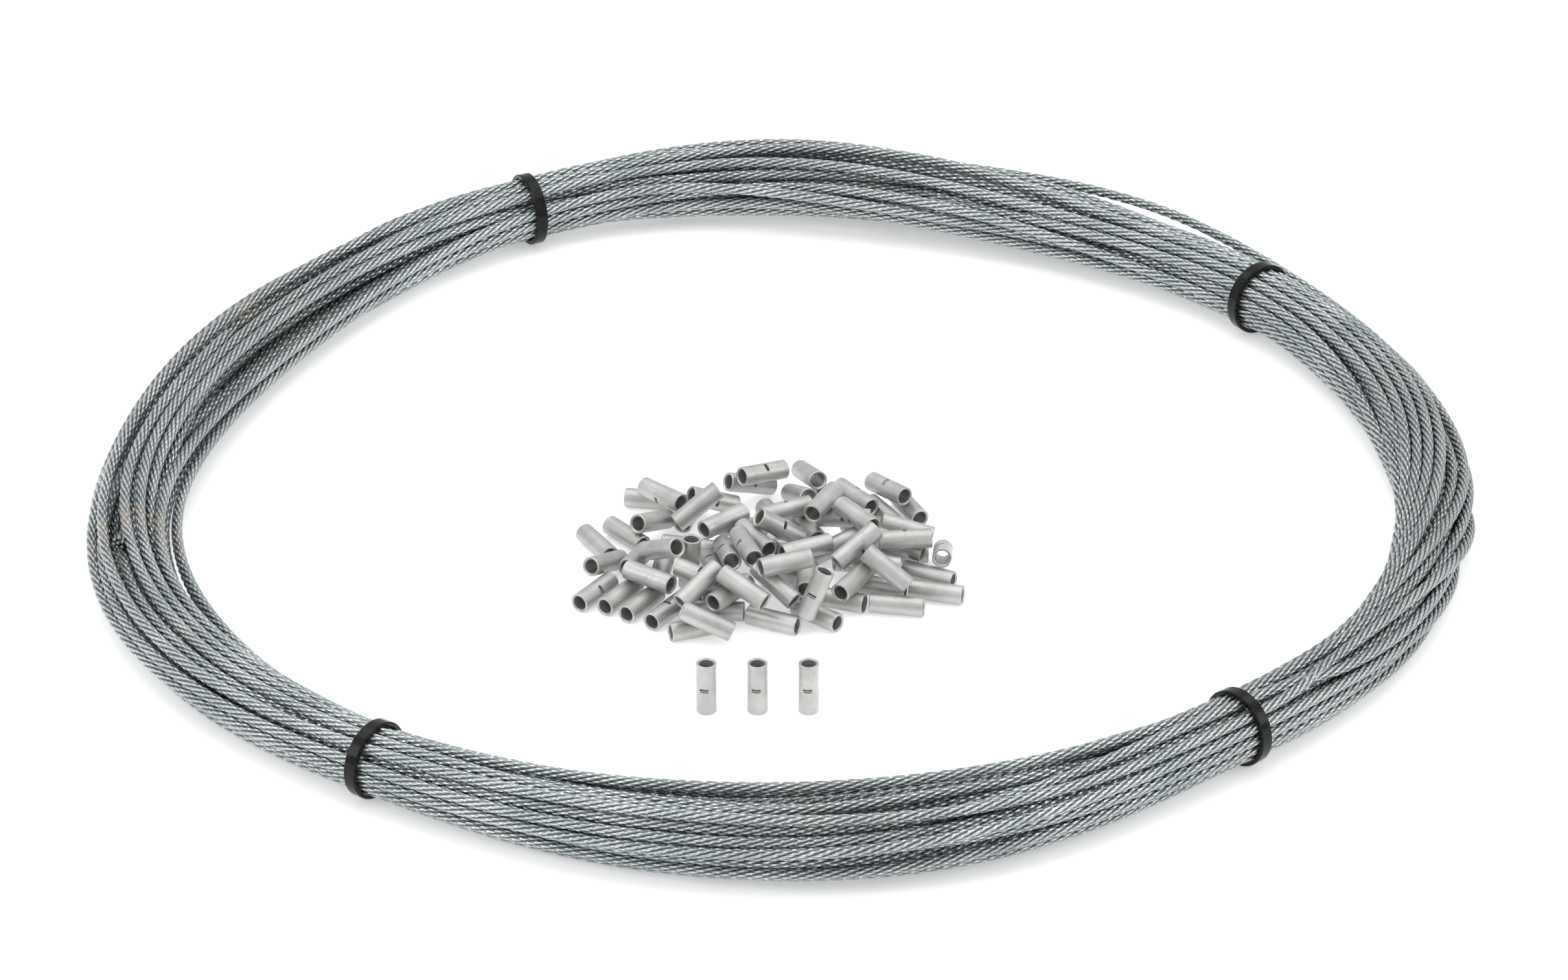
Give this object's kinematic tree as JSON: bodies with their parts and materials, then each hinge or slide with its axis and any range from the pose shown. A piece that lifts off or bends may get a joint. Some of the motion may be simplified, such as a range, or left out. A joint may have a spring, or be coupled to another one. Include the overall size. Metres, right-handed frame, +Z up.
{
  "type": "wire rope sling",
  "caption": "Tied round coil of left-hand lay galvanised wire rope with loose tubular crimp sleeves inside it, some standing upright, for making up slings.",
  "frame": {"origin": "on the ground under the middle of the coil", "axes": "+Z up; -Y towards the upright sleeves, the side it is looked at from; +X to the right"},
  "size_m": [0.3918, 0.3957, 0.026],
  "materials": {
    "galvanised_rope": "galvanised stranded wire",
    "tinned_copper": "matt tin plate",
    "black_nylon": "moulded gloss"
  },
  "bodies": {
    "coil": {"coil": "galvanised_rope", "loose_turn": "galvanised_rope", "tie_back_left": "black_nylon", "tie_back_right": "black_nylon", "tie_front_left": "black_nylon", "tie_front_right": "black_nylon"},
    "pawl_back_left": {"pawl_back_left": "black_nylon"},
    "pawl_back_right": {"pawl_back_right": "black_nylon"},
    "pawl_front_left": {"pawl_front_left": "black_nylon"},
    "pawl_front_right": {"pawl_front_right": "black_nylon"},
    "upright_sleeve_left": {"upright_sleeve_left": "tinned_copper"},
    "upright_sleeve_middle": {"upright_sleeve_middle": "tinned_copper"},
    "upright_sleeve_right": {"upright_sleeve_right": "tinned_copper"},
    "edge_sleeve_01": {"edge_sleeve_01": "tinned_copper"},
    "edge_sleeve_02": {"edge_sleeve_02": "tinned_copper"},
    "heap_ground_tier": {"heap_ground_tier": "tinned_copper"},
    "heap_middle_tier": {"heap_middle_tier": "tinned_copper"},
    "heap_top_tier": {"heap_top_tier": "tinned_copper"},
    "top_sleeve_01": {"top_sleeve_01": "tinned_copper"},
    "top_sleeve_02": {"top_sleeve_02": "tinned_copper"},
    "top_sleeve_03": {"top_sleeve_03": "tinned_copper"},
    "top_sleeve_04": {"top_sleeve_04": "tinned_copper"},
    "top_sleeve_05": {"top_sleeve_05": "tinned_copper"},
    "top_sleeve_06": {"top_sleeve_06": "tinned_copper"},
    "top_sleeve_07": {"top_sleeve_07": "tinned_copper"},
    "top_sleeve_08": {"top_sleeve_08": "tinned_copper"},
    "top_sleeve_09": {"top_sleeve_09": "tinned_copper"},
    "top_sleeve_10": {"top_sleeve_10": "tinned_copper"},
    "top_sleeve_11": {"top_sleeve_11": "tinned_copper"},
    "top_sleeve_12": {"top_sleeve_12": "tinned_copper"},
    "top_sleeve_13": {"top_sleeve_13": "tinned_copper"},
    "top_sleeve_14": {"top_sleeve_14": "tinned_copper"},
    "top_sleeve_15": {"top_sleeve_15": "tinned_copper"},
    "top_sleeve_16": {"top_sleeve_16": "tinned_copper"}
  },
  "joints": [
    {"name": "pawl_back_left_flex", "type": "hinge", "parent": "coil", "child": "pawl_back_left", "pos_m": [-0.0805, 0.17264, 0.00394], "axis": [-0.9063, -0.4226, 0], "range_deg": [0, 10], "stiffness_Nm_per_rad": 0.015},
    {"name": "pawl_back_right_flex", "type": "hinge", "parent": "coil", "child": "pawl_back_right", "pos_m": [0.14661, 0.11413, 0.00394], "axis": [-0.6143, 0.7891, 0], "range_deg": [0, 10], "stiffness_Nm_per_rad": 0.015},
    {"name": "pawl_front_left_flex", "type": "hinge", "parent": "coil", "child": "pawl_front_left", "pos_m": [-0.10133, -0.13744, 0.00611], "axis": [0.8049, -0.5934, 0], "range_deg": [0, 10], "stiffness_Nm_per_rad": 0.015},
    {"name": "pawl_front_right_flex", "type": "hinge", "parent": "coil", "child": "pawl_front_right", "pos_m": [0.11317, -0.12221, 0.00611], "axis": [0.7337, 0.6794, 0], "range_deg": [0, 10], "stiffness_Nm_per_rad": 0.015},
    {"name": "upright_sleeve_left_lift", "type": "slide", "parent": "coil", "child": "upright_sleeve_left", "axis": [0, 0, 1], "range_m": [0, 0.06]},
    {"name": "upright_sleeve_middle_lift", "type": "slide", "parent": "coil", "child": "upright_sleeve_middle", "axis": [0, 0, 1], "range_m": [0, 0.06]},
    {"name": "upright_sleeve_right_lift", "type": "slide", "parent": "coil", "child": "upright_sleeve_right", "axis": [0, 0, 1], "range_m": [0, 0.06]},
    {"name": "edge_sleeve_01_lift", "type": "slide", "parent": "coil", "child": "edge_sleeve_01", "axis": [0, 0, 1], "range_m": [0, 0.03]},
    {"name": "edge_sleeve_02_lift", "type": "slide", "parent": "coil", "child": "edge_sleeve_02", "axis": [0, 0, 1], "range_m": [0, 0.03]},
    {"name": "heap_ground_tier_lift", "type": "slide", "parent": "coil", "child": "heap_ground_tier", "axis": [0, 0, 1], "range_m": [0, 0.025]},
    {"name": "heap_middle_tier_lift", "type": "slide", "parent": "heap_ground_tier", "child": "heap_middle_tier", "axis": [0, 0, 1], "range_m": [0, 0.025]},
    {"name": "heap_top_tier_lift", "type": "slide", "parent": "heap_middle_tier", "child": "heap_top_tier", "axis": [0, 0, 1], "range_m": [0, 0.025]},
    {"name": "top_sleeve_01_lift", "type": "slide", "parent": "heap_top_tier", "child": "top_sleeve_01", "axis": [0, 0, 1], "range_m": [0, 0.03]},
    {"name": "top_sleeve_02_lift", "type": "slide", "parent": "heap_top_tier", "child": "top_sleeve_02", "axis": [0, 0, 1], "range_m": [0, 0.03]},
    {"name": "top_sleeve_03_lift", "type": "slide", "parent": "heap_top_tier", "child": "top_sleeve_03", "axis": [0, 0, 1], "range_m": [0, 0.03]},
    {"name": "top_sleeve_04_lift", "type": "slide", "parent": "heap_top_tier", "child": "top_sleeve_04", "axis": [0, 0, 1], "range_m": [0, 0.03]},
    {"name": "top_sleeve_05_lift", "type": "slide", "parent": "heap_top_tier", "child": "top_sleeve_05", "axis": [0, 0, 1], "range_m": [0, 0.03]},
    {"name": "top_sleeve_06_lift", "type": "slide", "parent": "heap_top_tier", "child": "top_sleeve_06", "axis": [0, 0, 1], "range_m": [0, 0.03]},
    {"name": "top_sleeve_07_lift", "type": "slide", "parent": "heap_top_tier", "child": "top_sleeve_07", "axis": [0, 0, 1], "range_m": [0, 0.03]},
    {"name": "top_sleeve_08_lift", "type": "slide", "parent": "heap_top_tier", "child": "top_sleeve_08", "axis": [0, 0, 1], "range_m": [0, 0.03]},
    {"name": "top_sleeve_09_lift", "type": "slide", "parent": "heap_top_tier", "child": "top_sleeve_09", "axis": [0, 0, 1], "range_m": [0, 0.03]},
    {"name": "top_sleeve_10_lift", "type": "slide", "parent": "heap_top_tier", "child": "top_sleeve_10", "axis": [0, 0, 1], "range_m": [0, 0.03]},
    {"name": "top_sleeve_11_lift", "type": "slide", "parent": "heap_top_tier", "child": "top_sleeve_11", "axis": [0, 0, 1], "range_m": [0, 0.03]},
    {"name": "top_sleeve_12_lift", "type": "slide", "parent": "heap_top_tier", "child": "top_sleeve_12", "axis": [0, 0, 1], "range_m": [0, 0.03]},
    {"name": "top_sleeve_13_lift", "type": "slide", "parent": "heap_top_tier", "child": "top_sleeve_13", "axis": [0, 0, 1], "range_m": [0, 0.03]},
    {"name": "top_sleeve_14_lift", "type": "slide", "parent": "heap_top_tier", "child": "top_sleeve_14", "axis": [0, 0, 1], "range_m": [0, 0.03]},
    {"name": "top_sleeve_15_lift", "type": "slide", "parent": "heap_top_tier", "child": "top_sleeve_15", "axis": [0, 0, 1], "range_m": [0, 0.03]},
    {"name": "top_sleeve_16_lift", "type": "slide", "parent": "heap_top_tier", "child": "top_sleeve_16", "axis": [0, 0, 1], "range_m": [0, 0.03]}
  ]
}
